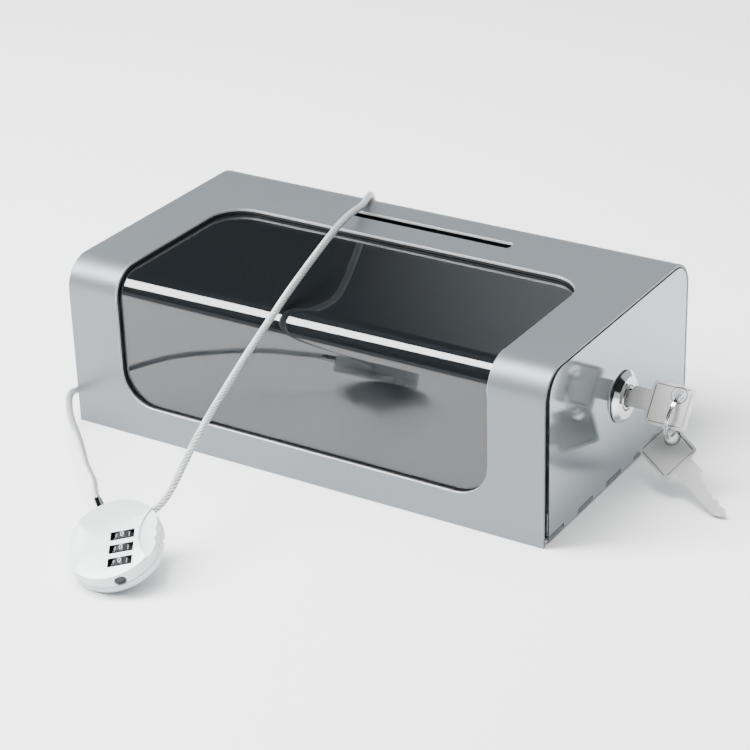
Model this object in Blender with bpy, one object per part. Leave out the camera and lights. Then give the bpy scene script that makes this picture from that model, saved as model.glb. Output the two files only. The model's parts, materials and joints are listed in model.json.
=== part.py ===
"""Donation box: a folded sheet-steel box with a bent smoked window and a coin slot, a drop-down end door on
a rolled piano hinge, a cam lock with two keys on a split ring, and a wire-rope tether closed by a round
three-dial padlock that lies in front of the box. +X is the door end, -Y the front, +Z up. The origin is at
the middle of the box's underside."""

import math

import bmesh
import bpy
import numpy as np
from mathutils import Matrix, Vector

MM = 0.001

# Box
LENGTH, DEPTH, HEIGHT = 240 * MM, 136 * MM, 79.2 * MM
SHEET = 1.2 * MM
BEND_R = 14 * MM            # outer radius of the two long top bends
FIT = 0.3 * MM              # clearance between pieces that touch
CORNER_STEPS = 8            # segments in a quarter bend

# Window and slot
WINDOW_HALF = 93.7 * MM
WINDOW_SILL = 15.6 * MM
WINDOW_BACK_Y = 21.3 * MM
WINDOW_CORNER_R = 16 * MM
SLOT_X = (-38 * MM, 46 * MM)
SLOT_Y = (37 * MM, 43 * MM)
GASKET, GASKET_LAP = 0.8 * MM, 5 * MM
PANE, PANE_LAP = 2.0 * MM, 6.2 * MM

# Floor tray and left end
TRAY_SHEET = 1.0 * MM
TRAY_FLANGE = 7 * MM
TRAY_FLANGE_X = (-108 * MM, 100 * MM)
END_FLANGE = 9 * MM

# Door and piano hinge
DOOR_SHEET = 1.2 * MM
DOOR_FRONT_Y, DOOR_BACK_Y = -63.2 * MM, 66.2 * MM
DOOR_TOP = 77.2 * MM
DOOR_FOOT = 3.6 * MM         # the plate's lower edge, over the knuckles
DOOR_CORNER_R = 11.5 * MM
DOOR_TAB = (3.8 * MM, 14 * MM)
HINGE_X, HINGE_Z = 118.35 * MM, 1.65 * MM
PIN_R, KNUCKLE_IN_R, KNUCKLE_R = 0.6 * MM, 0.9 * MM, 1.6 * MM
KNUCKLE_TURN = 290         # degrees that a leaf curls round the pin
KNUCKLE_PITCH = 13.25 * MM
HINGE_FRONT_Y, HINGE_BACK_Y = -63.3 * MM, 65 * MM
KNUCKLE_GAP = 0.3 * MM

# Cam lock. The key stands 36.87 degrees off the upright, locked position, leaning to the back.
LOCK_Y, LOCK_Z = 3.6 * MM, 38.4 * MM
KEY_TURN = math.atan2(0.6, 0.8)
ROSETTE_R, ROSETTE_FACE_R, ROSETTE_H = 11.7 * MM, 9.4 * MM, 2.4 * MM
ROSETTE_X = LENGTH / 2 + FIT
BARREL_R, BARREL_FLAT, BARREL_END_X = 8.0 * MM, 6.7 * MM, 102.4 * MM
PLUG_R, PLUG_BORE_R = 5.5 * MM, 5.8 * MM
STUD_R, STUD_FLAT, STUD_END_X = 3.4 * MM, 2.4 * MM, 95.0 * MM
CAM_X, CAM_T, CAM_REACH, CAM_W = 99.0 * MM, 2.0 * MM, 27 * MM, 12 * MM
NUT_AF, NUT_T = 22 * MM, 3.5 * MM
CAM_NUT_R, CAM_NUT_T = 5.8 * MM, 3.0 * MM
STRIKE_X, STRIKE_DROP, STRIKE_HALF = 101.8 * MM, 12 * MM, 6 * MM
STRIKE_FOOT_X = 114 * MM

# Keys and ring
BOW, BOW_CORNER_R, KEY_T = 19 * MM, 1.8 * MM, 1.6 * MM
BOW_X = 132.2 * MM          # where the bow of the key in the lock begins
BOW_RISE = 0.8 * MM         # bow centre over blade centre line
KEY_HOLE = (3.0 * MM, 5.2 * MM)
KEY_HOLE_R = 2.5 * MM
BLADE, BLADE_W = 29 * MM, 6.8 * MM
BOW_RIM, BOW_SUNK = 1.1 * MM, 0.2 * MM   # width of the bow's border, and how deep the field inside it lies
HOLE_COLLAR = 0.9 * MM
SHOULDER, SHOULDER_RISE = 7.6 * MM, 2.4 * MM
# distance of each cut from the tip, and its depth (mm)
KEY_CUTS = ((4.2, 2.0), (6.4, 1.2), (8.6, 2.6), (10.8, 1.6), (13.0, 2.2), (15.2, 1.0))
RING_R, RING_LEAN = 9.8 * MM, math.radians(7)
RING_WIRE_R, RING_WIRE_W = 1.1 * MM, 0.65 * MM

# Padlock: a disc that leans face up on the table in front of the box
PAD_CENTRE = (-22.42 * MM, -168.29 * MM, 12.76 * MM)
PAD_HEADING, PAD_LEAN, PAD_SPIN = math.radians(-6.7), math.radians(24.9), math.radians(34.5)
PAD_R, PAD_T, PAD_PARTING = 20.4 * MM, 10 * MM, -0.95 * MM
PAD_FLAT = 18.9 * MM         # the two finger sides are flattened to this half width
PAD_EDGE = 1.3 * MM
WING_CUT_R, WING_CUT_AT, WING_STEP = 20 * MM, 31.7 * MM, 0.8 * MM
GRIP_ANGLES, GRIP_R, GRIP_DEPTH = (-24, -9, 6, 21), 1.6 * MM, 0.7 * MM
DIAL_X, DIAL_YS = 4.5 * MM, (1.0 * MM, -5.8 * MM, -12.6 * MM)
DIAL_R, DIAL_W, DIAL_Z = 4.8 * MM, 3.6 * MM, 0.75 * MM
DIAL_WINDOW = (10.4 * MM, 4.4 * MM)
DIAL_WINDOW_DEPTH = 3.1 * MM
DIAL_GROOVE = 0.93           # a groove between two numbers, as a share of the wheel's radius
AXLE_R, AXLE_HALF = 1.0 * MM, 9.0 * MM
SCREW_PLACES = ((-8 * MM, 9 * MM), (-8 * MM, -11 * MM))
ENTRY_Z = 2.0 * MM          # height of the cable holes over the padlock's mid plane
FERRULE_ANGLE, PIN_ANGLE = math.radians(111), math.radians(40.4)
FERRULE_R, FERRULE_IN, FERRULE_OUT = 1.85 * MM, 4.7 * MM, 6.5 * MM
CABLE_PIN_R, CABLE_PIN_IN = 1.7 * MM, 10 * MM
BUTTON_ANGLE, BUTTON_Z, BUTTON_R = math.radians(-78), 1.4 * MM, 2.3 * MM
BUTTON_IN, BUTTON_POCKET = 2.6 * MM, 4.4 * MM
SCREW_HEAD_R, SCREW_HEAD_T, SCREW_SUNK = 2.1 * MM, 1.1 * MM, 1.6 * MM
SCREW_SLOT = (1.2 * MM, 0.3 * MM)

# Tether cable: the points its centre line runs through, from the ferrule over the left and the back of the
# box to the locking pin.
CABLE_R = 1.6 * MM
CABLE_ROUTE = (
    (-43.2, -152.6, 21.1), (-46.0, -150.3, 22.0), (-51.4, -144.3, 23.2), (-61.2, -136.4, 24.6), (-76.8, -121.0, 25.1),
    (-94.6, -104.1, 23.3), (-107.5, -89.8, 19.6), (-119.4, -74.8, 15.4), (-122.8, -66.0, 13.6), (-124.2, -48.0, 8.6),
    (-126.4, -22.0, 4.0), (-128.4, 6.0, 2.1), (-130.0, 34.0, 1.9), (-130.6, 55.0, 1.9), (-127.2, 71.0, 1.9),
    (-115.0, 79.0, 1.9), (-97.0, 80.5, 2.4), (-78.0, 79.0, 7.4), (-61.5, 76.4, 18.6), (-51.0, 73.8, 33.0),
    (-47.4, 72.6, 47.0), (-45.4, 71.0, 61.5), (-44.2, 69.2, 71.2), (-42.9, 66.0, 76.0), (-41.0, 61.6, 79.4),
    (-38.7, 56.0, 81.0), (-32.1, 40.7, 83.6), (-25.0, 20.3, 88.7), (-18.3, 0.8, 92.3), (-13.6, -16.0, 93.0),
    (-11.1, -36.1, 88.9), (-10.6, -54.6, 82.1), (-11.2, -67.3, 75.3), (-12.4, -87.8, 63.6), (-13.5, -110.3, 49.7),
    (-13.5, -124.0, 40.9), (-13.0, -136.0, 32.4), (-12.8, -142.5, 28.3), (-13.5, -147.9, 24.9), (-15.0, -151.7, 23.0),
)

# Tether eye on the back wall
EYE_X, EYE_Z, EYE_W, EYE_H = -44 * MM, 47 * MM, 16 * MM, 9 * MM
EYE_OUT, EYE_SHEET, EYE_FOOT = 8.2 * MM, 1.2 * MM, 8 * MM
RIVET_R, RIVET_HEAD = 2.2 * MM, 0.9 * MM


# --- materials -------------------------------------------------------------------------------------------

def material(name, colour, roughness, metallic=0.0, transmission=0.0):
    mat = bpy.data.materials.new(name)
    mat.use_nodes = True
    bsdf = mat.node_tree.nodes["Principled BSDF"]
    bsdf.inputs["Base Color"].default_value = (*colour, 1)
    bsdf.inputs["Roughness"].default_value = roughness
    bsdf.inputs["Metallic"].default_value = metallic
    bsdf.inputs["Transmission Weight"].default_value = transmission
    return mat


# --- shapes ----------------------------------------------------------------------------------------------

def add(name, bm, colour, roughness=0.35, metallic=0.0, transmission=0.0, smooth=None):
    """Makes an object with its own material; smooth is the angle in degrees under which edges are shaded."""
    bmesh.ops.recalc_face_normals(bm, faces=bm.faces)
    mesh = bpy.data.meshes.new(name)
    bm.to_mesh(mesh)
    bm.free()
    obj = bpy.data.objects.new(name, mesh)
    bpy.context.scene.collection.objects.link(obj)
    mesh.materials.append(material(name, colour, roughness, metallic, transmission))
    if smooth:
        mesh.shade_smooth()
        mesh.set_sharp_from_angle(angle=math.radians(smooth))
    return obj


def guide(name, bm):
    """A cutter or a body to join, which isn't a piece of the box."""
    obj = add(name, bm, (1, 0, 0))
    obj.hide_render = True
    obj.display_type = "WIRE"
    return obj


def boolean(obj, other, operation="DIFFERENCE"):
    mod = obj.modifiers.new(other.name, "BOOLEAN")
    mod.operation = operation
    mod.solver = "EXACT"
    mod.object = other


def cut(obj, name, bm):
    boolean(obj, guide(name, bm))


def join(obj, name, bm):
    boolean(obj, guide(name, bm), "UNION")


def arc(centre, radius, start, end, steps):
    """Points of an arc from start to end degrees."""
    angles = np.radians(np.linspace(start, end, steps + 1))
    return [(centre[0] + radius * math.cos(a), centre[1] + radius * math.sin(a)) for a in angles]


def rounded(x0, x1, y0, y1, radius, steps=CORNER_STEPS):
    """Outline of a rectangle with round corners, anticlockwise."""
    corners = ((x1 - radius, y1 - radius, 0), (x0 + radius, y1 - radius, 90),
               (x0 + radius, y0 + radius, 180), (x1 - radius, y0 + radius, 270))
    return [p for cx, cy, a in corners for p in arc((cx, cy), radius, a, a + 90, steps)]


def prism(outline, place, low, high):
    """A closed outline pushed from low to high; place(u, v, w) gives the point in space."""
    bm = bmesh.new()
    rings = [[bm.verts.new(place(u, v, w)) for u, v in outline] for w in (low, high)]
    count = len(outline)
    bm.faces.new(rings[0][::-1])
    bm.faces.new(rings[1])
    for i in range(count):
        j = (i + 1) % count
        bm.faces.new((rings[0][i], rings[0][j], rings[1][j], rings[1][i]))
    return bm


def along_x(u, v, w):
    return Vector((w, u, v))


def along_y(u, v, w):
    return Vector((u, w, v))


def along_z(u, v, w):
    return Vector((u, v, w))


def lathe(profile, frame, steps=32):
    """A body turned about the frame's Z axis; the profile's (radius, height) points start and end on it."""
    bm = bmesh.new()
    rings = []
    for radius, height in profile:
        if radius == 0:
            rings.append([bm.verts.new(frame @ Vector((0, 0, height)))])
            continue
        turns = [2 * math.pi * i / steps for i in range(steps)]
        rings.append([bm.verts.new(frame @ Vector((radius * math.cos(t), radius * math.sin(t), height)))
                      for t in turns])
    for low, high in zip(rings, rings[1:]):
        for i in range(steps):
            j = (i + 1) % steps
            corners = [low[i % len(low)], low[j % len(low)], high[j % len(high)], high[i % len(high)]]
            bm.faces.new(list(dict.fromkeys(corners)))
    return bm


def cylinder(frame, radius, low, high, steps=32):
    return lathe(((0, low), (radius, low), (radius, high), (0, high)), frame, steps)


def flatted(radius, flat, steps=40):
    """Outline of a round bar with two flats."""
    points = [(radius * math.cos(2 * math.pi * i / steps), radius * math.sin(2 * math.pi * i / steps))
              for i in range(steps)]
    return [(x, max(-flat, min(flat, y))) for x, y in points]


def frame_to(x_axis, y_axis, origin):
    """The matrix that puts local X and Y along two directions at an origin."""
    x_axis = Vector(x_axis).normalized()
    z_axis = x_axis.cross(Vector(y_axis)).normalized()
    y_axis = z_axis.cross(x_axis)
    matrix = Matrix((x_axis, y_axis, z_axis)).transposed().to_4x4()
    matrix.translation = Vector(origin)
    return matrix


def hang(obj, pivot):
    """Moves an object's origin to its joint axis, leaving its shape where it is."""
    obj.data.transform(Matrix.Translation(-Vector(pivot)))
    obj.location = pivot


def in_frame(frame):
    return lambda u, v, w: frame @ Vector((u, v, w))


LOCK_FRAME = frame_to((0, math.sin(KEY_TURN), math.cos(KEY_TURN)), (0, -math.cos(KEY_TURN), math.sin(KEY_TURN)),
                      (0, LOCK_Y, LOCK_Z))
UPRIGHT_FRAME = frame_to((0, 0, 1), (0, -1, 0), (0, LOCK_Y, LOCK_Z))
PAD_FRAME = (Matrix.Translation(PAD_CENTRE) @ Matrix.Rotation(PAD_HEADING, 4, "Z")
             @ Matrix.Rotation(PAD_LEAN, 4, "X") @ Matrix.Rotation(PAD_SPIN, 4, "Z"))


# --- box -------------------------------------------------------------------------------------------------

def section(inset, low):
    """Half outline of the box in YZ, from the front wall's foot over the top to the back's, at a depth of
    inset under the outer surface."""
    side, radius = DEPTH / 2 - inset, BEND_R - inset
    axis_y, axis_z = DEPTH / 2 - BEND_R, HEIGHT - BEND_R
    return ([(-side, low)] + arc((-axis_y, axis_z), radius, 180, 90, CORNER_STEPS)
            + arc((axis_y, axis_z), radius, 90, 0, CORNER_STEPS) + [(side, low)])


def cut_window(sheet):
    """Cuts the window in three steps, because it runs over the front bend: front wall, top and bend."""
    radius, half, reach = WINDOW_CORNER_R, WINDOW_HALF, 5 * MM
    bend_y, bend_z, lap = -DEPTH / 2 + BEND_R, HEIGHT - BEND_R, 1 * MM
    front = [(half, bend_z), (-half, bend_z)] + arc((-half + radius, WINDOW_SILL + radius), radius, 180, 270, 8)
    front += arc((half - radius, WINDOW_SILL + radius), radius, 270, 360, 8)
    top = [(-half, bend_y), (half, bend_y)] + arc((half - radius, WINDOW_BACK_Y - radius), radius, 0, 90, 8)
    top += arc((-half + radius, WINDOW_BACK_Y - radius), radius, 90, 180, 8)
    bend = [(-DEPTH / 2 - reach, bend_z - lap), (bend_y + lap, bend_z - lap),
            (bend_y + lap, HEIGHT + reach), (-DEPTH / 2 - reach, HEIGHT + reach)]
    cut(sheet, f"cut_{sheet.name}_front", prism(front, along_y, -DEPTH / 2 - reach, bend_y))
    cut(sheet, f"cut_{sheet.name}_top", prism(top, along_z, bend_z, HEIGHT + reach))
    cut(sheet, f"cut_{sheet.name}_bend", prism(bend, along_x, -half, half))


def body_wrap():
    """One sheet: front wall, top and back wall."""
    outline = section(0, 0) + section(SHEET, 0)[::-1]
    wrap = add("body_wrap", prism(outline, along_x, -LENGTH / 2, LENGTH / 2), (0.42, 0.45, 0.48), 0.38, 0.75,
               smooth=25)
    cut_window(wrap)
    slot = rounded(*SLOT_X, *SLOT_Y, 1.4 * MM, 4)
    cut(wrap, "cut_slot", prism(slot, along_z, HEIGHT - 5 * MM, HEIGHT + 5 * MM))


def window_sheet(name, depth, thickness, lap, colour, roughness, transmission=0.0):
    """A sheet bent with the front of the wrap, at a depth under the wrap's outer surface, that laps behind
    the window's edge."""
    centre = (-DEPTH / 2 + BEND_R, HEIGHT - BEND_R)
    outline = []
    for inset in (depth, depth + thickness):
        path = [(-DEPTH / 2 + inset, WINDOW_SILL - lap)]
        path += arc(centre, BEND_R - inset, 180, 90, CORNER_STEPS)
        path += [(WINDOW_BACK_Y + lap, HEIGHT - inset)]
        outline += path if inset == depth else path[::-1]
    half = WINDOW_HALF + lap
    return add(name, prism(outline, along_x, -half, half), colour, roughness, transmission=transmission, smooth=25)


def window_gasket():
    """Foam seal: a bent frame between the wrap and the pane."""
    gasket = window_sheet("window_gasket", SHEET + FIT, GASKET, GASKET_LAP, (0.01, 0.01, 0.01), 0.9)
    cut_window(gasket)


def window_pane():
    depth = SHEET + FIT + GASKET + FIT
    window_sheet("window_pane", depth, PANE, PANE_LAP, (0.02, 0.024, 0.026), 0.05, 0.6)


def left_end_panel():
    """Folded pan that closes the left end inside the wrap."""
    lower, start = TRAY_SHEET + FIT, -LENGTH / 2
    panel = add("left_end_panel", prism(section(SHEET + FIT, lower), along_x, start, start + END_FLANGE),
                (0.42, 0.45, 0.48), 0.38, 0.75, smooth=25)
    inside = section(2 * SHEET + FIT, lower - 5 * MM)
    cut(panel, "cut_end_pan", prism(inside, along_x, start + SHEET, start + 2 * END_FLANGE))


def knuckle_spans():
    """(front, back, is_fixed) of each rolled knuckle; the strip is cut to length, so the last is short."""
    spans, y, fixed = [], HINGE_FRONT_Y, True
    while y < HINGE_BACK_Y - KNUCKLE_PITCH / 3:
        end = min(y + KNUCKLE_PITCH, HINGE_BACK_Y)
        spans.append((y + KNUCKLE_GAP / 2, end - KNUCKLE_GAP / 2, fixed))
        y, fixed = end, not fixed
    return spans


def knuckle(leaf, start, turn):
    """Outline in XZ of a rolled knuckle: two leaf corners, then the curl round the pin from start degrees."""
    centre = (HINGE_X, HINGE_Z)
    return leaf + arc(centre, KNUCKLE_R, start, start + turn, 22) + arc(centre, KNUCKLE_IN_R, start + turn, start, 22)


def tray_knuckle():
    """The leaf lies in the floor sheet and runs on under the pin."""
    end = HINGE_X - 5 * MM
    return knuckle([(end, HINGE_Z - KNUCKLE_IN_R), (end, HINGE_Z - KNUCKLE_R)], 270, KNUCKLE_TURN)


def door_knuckle():
    """The leaf hangs from the plate, outside the pin."""
    end = HINGE_Z + 4 * MM
    return knuckle([(HINGE_X + KNUCKLE_IN_R, end), (HINGE_X + KNUCKLE_R, end)], 0, -KNUCKLE_TURN)


def base_tray():
    """Floor sheet with upturned side flanges; its right edge is rolled into the fixed knuckles."""
    half, edge = DEPTH / 2 - SHEET - FIT, HINGE_X - KNUCKLE_R - 0.4 * MM
    left = -LENGTH / 2 + 0.2 * MM
    sheet = [(left, -half), (edge, -half), (edge, half), (left, half)]
    tray = add("base_tray", prism(sheet, along_z, 0, TRAY_SHEET), (0.42, 0.45, 0.48), 0.38, 0.75, smooth=25)
    root = TRAY_SHEET / 2
    for side in (-1, 1):
        outer, inner = side * half, side * (half - TRAY_SHEET)
        lip = [(outer, root), (outer, TRAY_FLANGE), (inner, TRAY_FLANGE), (inner, root)]
        join(tray, f"tray_flange_{side}", prism(lip, along_x, *TRAY_FLANGE_X))
    for i, (front, back, fixed) in enumerate(knuckle_spans()):
        if fixed:
            join(tray, f"tray_knuckle_{i}", prism(tray_knuckle(), along_y, front, back))


def door_panel():
    """Flat plate that fills the right end; leaves on its lower edge are rolled into the moving knuckles."""
    inner, outer = LENGTH / 2 - DOOR_SHEET, LENGTH / 2
    radius = DOOR_CORNER_R
    plate = ([(DOOR_FRONT_Y, DOOR_FOOT), (DOOR_BACK_Y, DOOR_FOOT)]
             + arc((DOOR_BACK_Y - radius, DOOR_TOP - radius), radius, 0, 90, CORNER_STEPS)
             + arc((DOOR_FRONT_Y + radius, DOOR_TOP - radius), radius, 90, 180, CORNER_STEPS))
    door = add("door_panel", prism(plate, along_x, inner, outer), (0.62, 0.66, 0.68), 0.12, 0.6, smooth=25)
    for i, (front, back, fixed) in enumerate(knuckle_spans()):
        if not fixed:
            join(door, f"door_knuckle_{i}", prism(door_knuckle(), along_y, front, back))
    # The front edge carries a short folded tab that stiffens it beside the hinge.
    tab_y = (DOOR_FRONT_Y - 0.2 * MM, DOOR_FRONT_Y + 1.0 * MM)
    tab_x = (inner - 2.4 * MM, inner + 0.4 * MM)
    tab = [(tab_x[0], tab_y[0]), (tab_x[1], tab_y[0]), (tab_x[1], tab_y[1]), (tab_x[0], tab_y[1])]
    join(door, "door_tab", prism(tab, along_z, *DOOR_TAB))
    hole = flatted(BARREL_R + FIT, BARREL_FLAT + FIT)
    cut(door, "cut_lock_hole", prism(hole, in_frame(UPRIGHT_FRAME), inner - 2 * MM, outer + 2 * MM))
    hang(door, (HINGE_X, 0, HINGE_Z))


def hinge_pin():
    """Wire with a peened head at the front."""
    frame = frame_to((1, 0, 0), (0, 0, -1), (HINGE_X, 0, HINGE_Z))
    front, back = HINGE_FRONT_Y - 0.4 * MM, HINGE_BACK_Y + 0.8 * MM
    profile = ((0, front - 1.2 * MM), (0.8 * MM, front - 1.2 * MM), (1.2 * MM, front - 0.8 * MM), (1.2 * MM, front),
               (PIN_R, front), (PIN_R, back - 0.2 * MM), (PIN_R - 0.2 * MM, back), (0, back))
    add("hinge_pin", lathe(profile, frame, 16), (0.6, 0.61, 0.62), 0.25, 1.0, smooth=40)


# --- cam lock --------------------------------------------------------------------------------------------

def lock_housing():
    face = ROSETTE_X
    steel = ((0.75, 0.76, 0.77), 0.08, 1.0)
    housing = add("lock_housing", prism(flatted(BARREL_R, BARREL_FLAT), in_frame(UPRIGHT_FRAME), BARREL_END_X,
                                        face + 0.5 * MM), *steel, smooth=30)
    rosette = ((0, face), (ROSETTE_R, face), (ROSETTE_R, face + 0.5 * MM),
               (ROSETTE_FACE_R, face + ROSETTE_H), (0, face + ROSETTE_H))
    join(housing, "rosette", lathe(rosette, UPRIGHT_FRAME, 48))
    cut(housing, "cut_plug_bore", cylinder(UPRIGHT_FRAME, PLUG_BORE_R, BARREL_END_X - 2 * MM, face + 9 * MM, 40))
    hang(housing, (HINGE_X, 0, HINGE_Z))


def lock_nut():
    hexagon = [(NUT_AF / math.sqrt(3) * math.cos(a), NUT_AF / math.sqrt(3) * math.sin(a))
               for a in np.radians(np.arange(0, 360, 60))]
    low = LENGTH / 2 - DOOR_SHEET - FIT - NUT_T
    nut = add("lock_nut", prism(hexagon, in_frame(UPRIGHT_FRAME), low, low + NUT_T), (0.55, 0.56, 0.57), 0.3, 1.0)
    hole = flatted(BARREL_R + FIT, BARREL_FLAT + FIT)
    cut(nut, "cut_nut_hole", prism(hole, in_frame(UPRIGHT_FRAME), low - MM, low + NUT_T + MM))
    hang(nut, (HINGE_X, 0, HINGE_Z))


def lock_plug():
    """Turning core with the keyway, ending in a flatted stud that drives the cam."""
    face = ROSETTE_X + ROSETTE_H + 0.2 * MM
    stud_start = CAM_X + CAM_T + 0.5 * MM
    profile = ((0, stud_start), (PLUG_R, stud_start), (PLUG_R, face - 0.4 * MM), (PLUG_R - 0.4 * MM, face), (0, face))
    plug = add("lock_plug", lathe(profile, LOCK_FRAME, 36), (0.72, 0.73, 0.74), 0.12, 1.0, smooth=30)
    stud = prism(flatted(STUD_R, STUD_FLAT, 24), in_frame(LOCK_FRAME), STUD_END_X, stud_start + MM)
    join(plug, "plug_stud", stud)
    half_w, half_t = BLADE_W / 2 + FIT, KEY_T / 2 + FIT
    slot = [(-half_w, -half_t), (half_w, -half_t), (half_w, half_t), (-half_w, half_t)]
    cut(plug, "cut_keyway", prism(slot, in_frame(LOCK_FRAME), BOW_X - BLADE - 0.5 * MM, face + MM))
    hang(plug, (0, LOCK_Y, LOCK_Z))


def lock_cam():
    half = CAM_W / 2
    outline = arc((0, 0), half, 90, 270, 12) + arc((CAM_REACH, 0), half, -90, 90, 12)
    cam = add("lock_cam", prism(outline, in_frame(LOCK_FRAME), CAM_X, CAM_X + CAM_T), (0.55, 0.56, 0.57), 0.3, 1.0,
              smooth=30)
    hole = flatted(STUD_R + FIT, STUD_FLAT + FIT, 24)
    cut(cam, "cut_cam_hole", prism(hole, in_frame(LOCK_FRAME), CAM_X - MM, CAM_X + CAM_T + MM))
    hang(cam, (0, LOCK_Y, LOCK_Z))


def cam_nut():
    hexagon = [(CAM_NUT_R * math.cos(a), CAM_NUT_R * math.sin(a)) for a in np.radians(np.arange(0, 360, 60))]
    high = CAM_X - FIT
    nut = add("cam_nut", prism(hexagon, in_frame(LOCK_FRAME), high - CAM_NUT_T, high),
              (0.6, 0.61, 0.62), 0.3, 1.0)
    hole = flatted(STUD_R + FIT, STUD_FLAT + FIT, 24)
    cut(nut, "cut_cam_nut_hole", prism(hole, in_frame(LOCK_FRAME), high - CAM_NUT_T - MM, high + MM))
    hang(nut, (0, LOCK_Y, LOCK_Z))


def strike_bracket():
    """Angle welded under the top: the upright cam bears on the back of its leg."""
    top = HEIGHT - SHEET - FIT
    leg = [(STRIKE_X + SHEET, top - STRIKE_DROP), (STRIKE_X, top - STRIKE_DROP)]
    bend = arc((STRIKE_X + 2 * SHEET, top - 2 * SHEET), SHEET, 180, 90, 4)
    foot = [(STRIKE_FOOT_X, top - SHEET), (STRIKE_FOOT_X, top)]
    back = arc((STRIKE_X + 2 * SHEET, top - 2 * SHEET), 2 * SHEET, 90, 180, 4)
    add("strike_bracket", prism(leg[::-1] + bend + foot + back, along_y, LOCK_Y - STRIKE_HALF, LOCK_Y + STRIKE_HALF),
        (0.55, 0.56, 0.57), 0.35, 0.9, smooth=30)


# --- keys and ring ---------------------------------------------------------------------------------------

def key_shape(name, frame):
    """Flat key: local X runs from the bow's centre to the tip, Y to the side that the hole is on, and the
    blade's centre line lies BOW_RISE below the bow's centre."""
    half, y = BOW / 2, -BOW_RISE
    hi, lo = y + BLADE_W / 2, y - BLADE_W / 2
    shoulder = half + SHOULDER
    tip = half + BLADE
    blade = [(half - 2 * MM, lo), (tip - 3.6 * MM, lo), (tip, y - 0.7 * MM), (tip, y + 0.7 * MM),
             (tip - 1.8 * MM, hi - 1.4 * MM)]
    for back_off, depth in KEY_CUTS:
        x = tip - back_off * MM
        blade += [(x, hi - depth * MM), (x - 0.9 * MM, hi - depth * MM)]
    blade += [(shoulder + 1.4 * MM, hi), (shoulder, hi + SHOULDER_RISE),
              (half - 2 * MM, hi + SHOULDER_RISE)]
    key = add(name, prism(rounded(-half, half, -half, half, BOW_CORNER_R, 4), in_frame(frame), -KEY_T / 2,
                          KEY_T / 2), (0.7, 0.7, 0.69), 0.2, 1.0, smooth=30)
    join(key, f"{name}_blade", prism(blade, in_frame(frame), -KEY_T / 2, KEY_T / 2))
    inner = half - BOW_RIM
    field = rounded(-inner, inner, -inner, inner, BOW_CORNER_R - BOW_SUNK, 3)
    hole_frame = frame @ Matrix.Translation((-KEY_HOLE[0], KEY_HOLE[1], 0))
    for side in (-1, 1):
        low, high = sorted((side * (KEY_T / 2 - BOW_SUNK), side * (KEY_T / 2 + MM)))
        cut(key, f"cut_{name}_field_{side}", prism(field, in_frame(frame), low, high))
    join(key, f"{name}_collar", cylinder(hole_frame, KEY_HOLE_R + HOLE_COLLAR, -KEY_T / 2, KEY_T / 2, 28))
    cut(key, f"cut_{name}_hole", cylinder(hole_frame, KEY_HOLE_R, -2 * KEY_T, 2 * KEY_T, 28))
    return key


def key_in_lock():
    """The key in the plug, blade to -X."""
    side = (0, math.sin(KEY_TURN), math.cos(KEY_TURN))
    centre = Vector((BOW_X + BOW / 2, LOCK_Y, LOCK_Z)) + Vector(side) * BOW_RISE
    hang(key_shape("key", frame_to((-1, 0, 0), side, centre)), (BOW_X, LOCK_Y, LOCK_Z))


def ring_top():
    """Where the ring's wire passes through the hole of the key in the lock."""
    side = Vector((0, math.sin(KEY_TURN), math.cos(KEY_TURN)))
    rise = BOW_RISE + KEY_HOLE[1] - 0.5 * MM
    return Vector((BOW_X + BOW / 2 + KEY_HOLE[0], LOCK_Y, LOCK_Z)) + side * rise


def ring_bottom():
    return ring_top() + 2 * RING_R * Vector((-math.sin(RING_LEAN), 0, -math.cos(RING_LEAN)))


def key_ring():
    """Split ring: flat wire wound a little under two turns."""
    centre = (ring_top() + ring_bottom()) / 2
    up = (ring_top() - centre).normalized()
    back = Vector((0, 1, 0))
    side = up.cross(back)
    turns, steps, pitch = 1.8, 72, RING_WIRE_W + 0.2 * MM
    corners = ((-0.5, -0.36), (-0.36, -0.5), (0.36, -0.5), (0.5, -0.36),
               (0.5, 0.36), (0.36, 0.5), (-0.36, 0.5), (-0.5, 0.36))
    bm = bmesh.new()
    rings = []
    for i in range(steps + 1):
        share = i / steps
        angle = math.radians(160) + 2 * math.pi * turns * share
        # Each coil lies flat; the wire steps over from one to the other where its two ends leave room.
        shift = (min(max((share - 4 / 9) * 9, 0), 1) - 0.5) * pitch
        radial = math.cos(angle) * up + math.sin(angle) * back
        rings.append([bm.verts.new(centre + radial * (RING_R + u * RING_WIRE_R) + side * (shift + v * RING_WIRE_W))
                      for u, v in corners])
    for low, high in zip(rings, rings[1:]):
        for i in range(8):
            bm.faces.new((low[i], low[(i + 1) % 8], high[(i + 1) % 8], high[i]))
    bm.faces.new(rings[0][::-1])
    bm.faces.new(rings[-1])
    ring = add("key_ring", bm, (0.72, 0.72, 0.72), 0.15, 1.0, smooth=50)
    hang(ring, ring_top())


def spare_key():
    """Hangs from the ring's lowest point with its tip on the table."""
    along, side = Vector((0.853, -0.314, -0.417)), Vector((0.521, 0.563, 0.642))
    frame = frame_to(along, side, (0, 0, 0))
    along, side = frame.col[0].to_3d(), frame.col[1].to_3d()
    up_in_plate = Vector((0, 0, 1)) - frame.col[2].to_3d() * frame.col[2].z
    hole = ring_bottom() - up_in_plate.normalized() * 0.5 * MM
    centre = hole + along * KEY_HOLE[0] - side * KEY_HOLE[1]
    hang(key_shape("spare_key", frame_to(along, side, centre)), ring_bottom())


# --- tether ----------------------------------------------------------------------------------------------

def rim_frame(angle, height=ENTRY_Z):
    """A frame on the padlock's axis whose Z runs radially out at an angle."""
    turn = PAD_FRAME.to_3x3()
    out = turn @ Vector((math.cos(angle), math.sin(angle), 0))
    across = turn @ Vector((0, 0, 1))
    return frame_to(across, out.cross(across), PAD_FRAME @ Vector((0, 0, height)))


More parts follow.
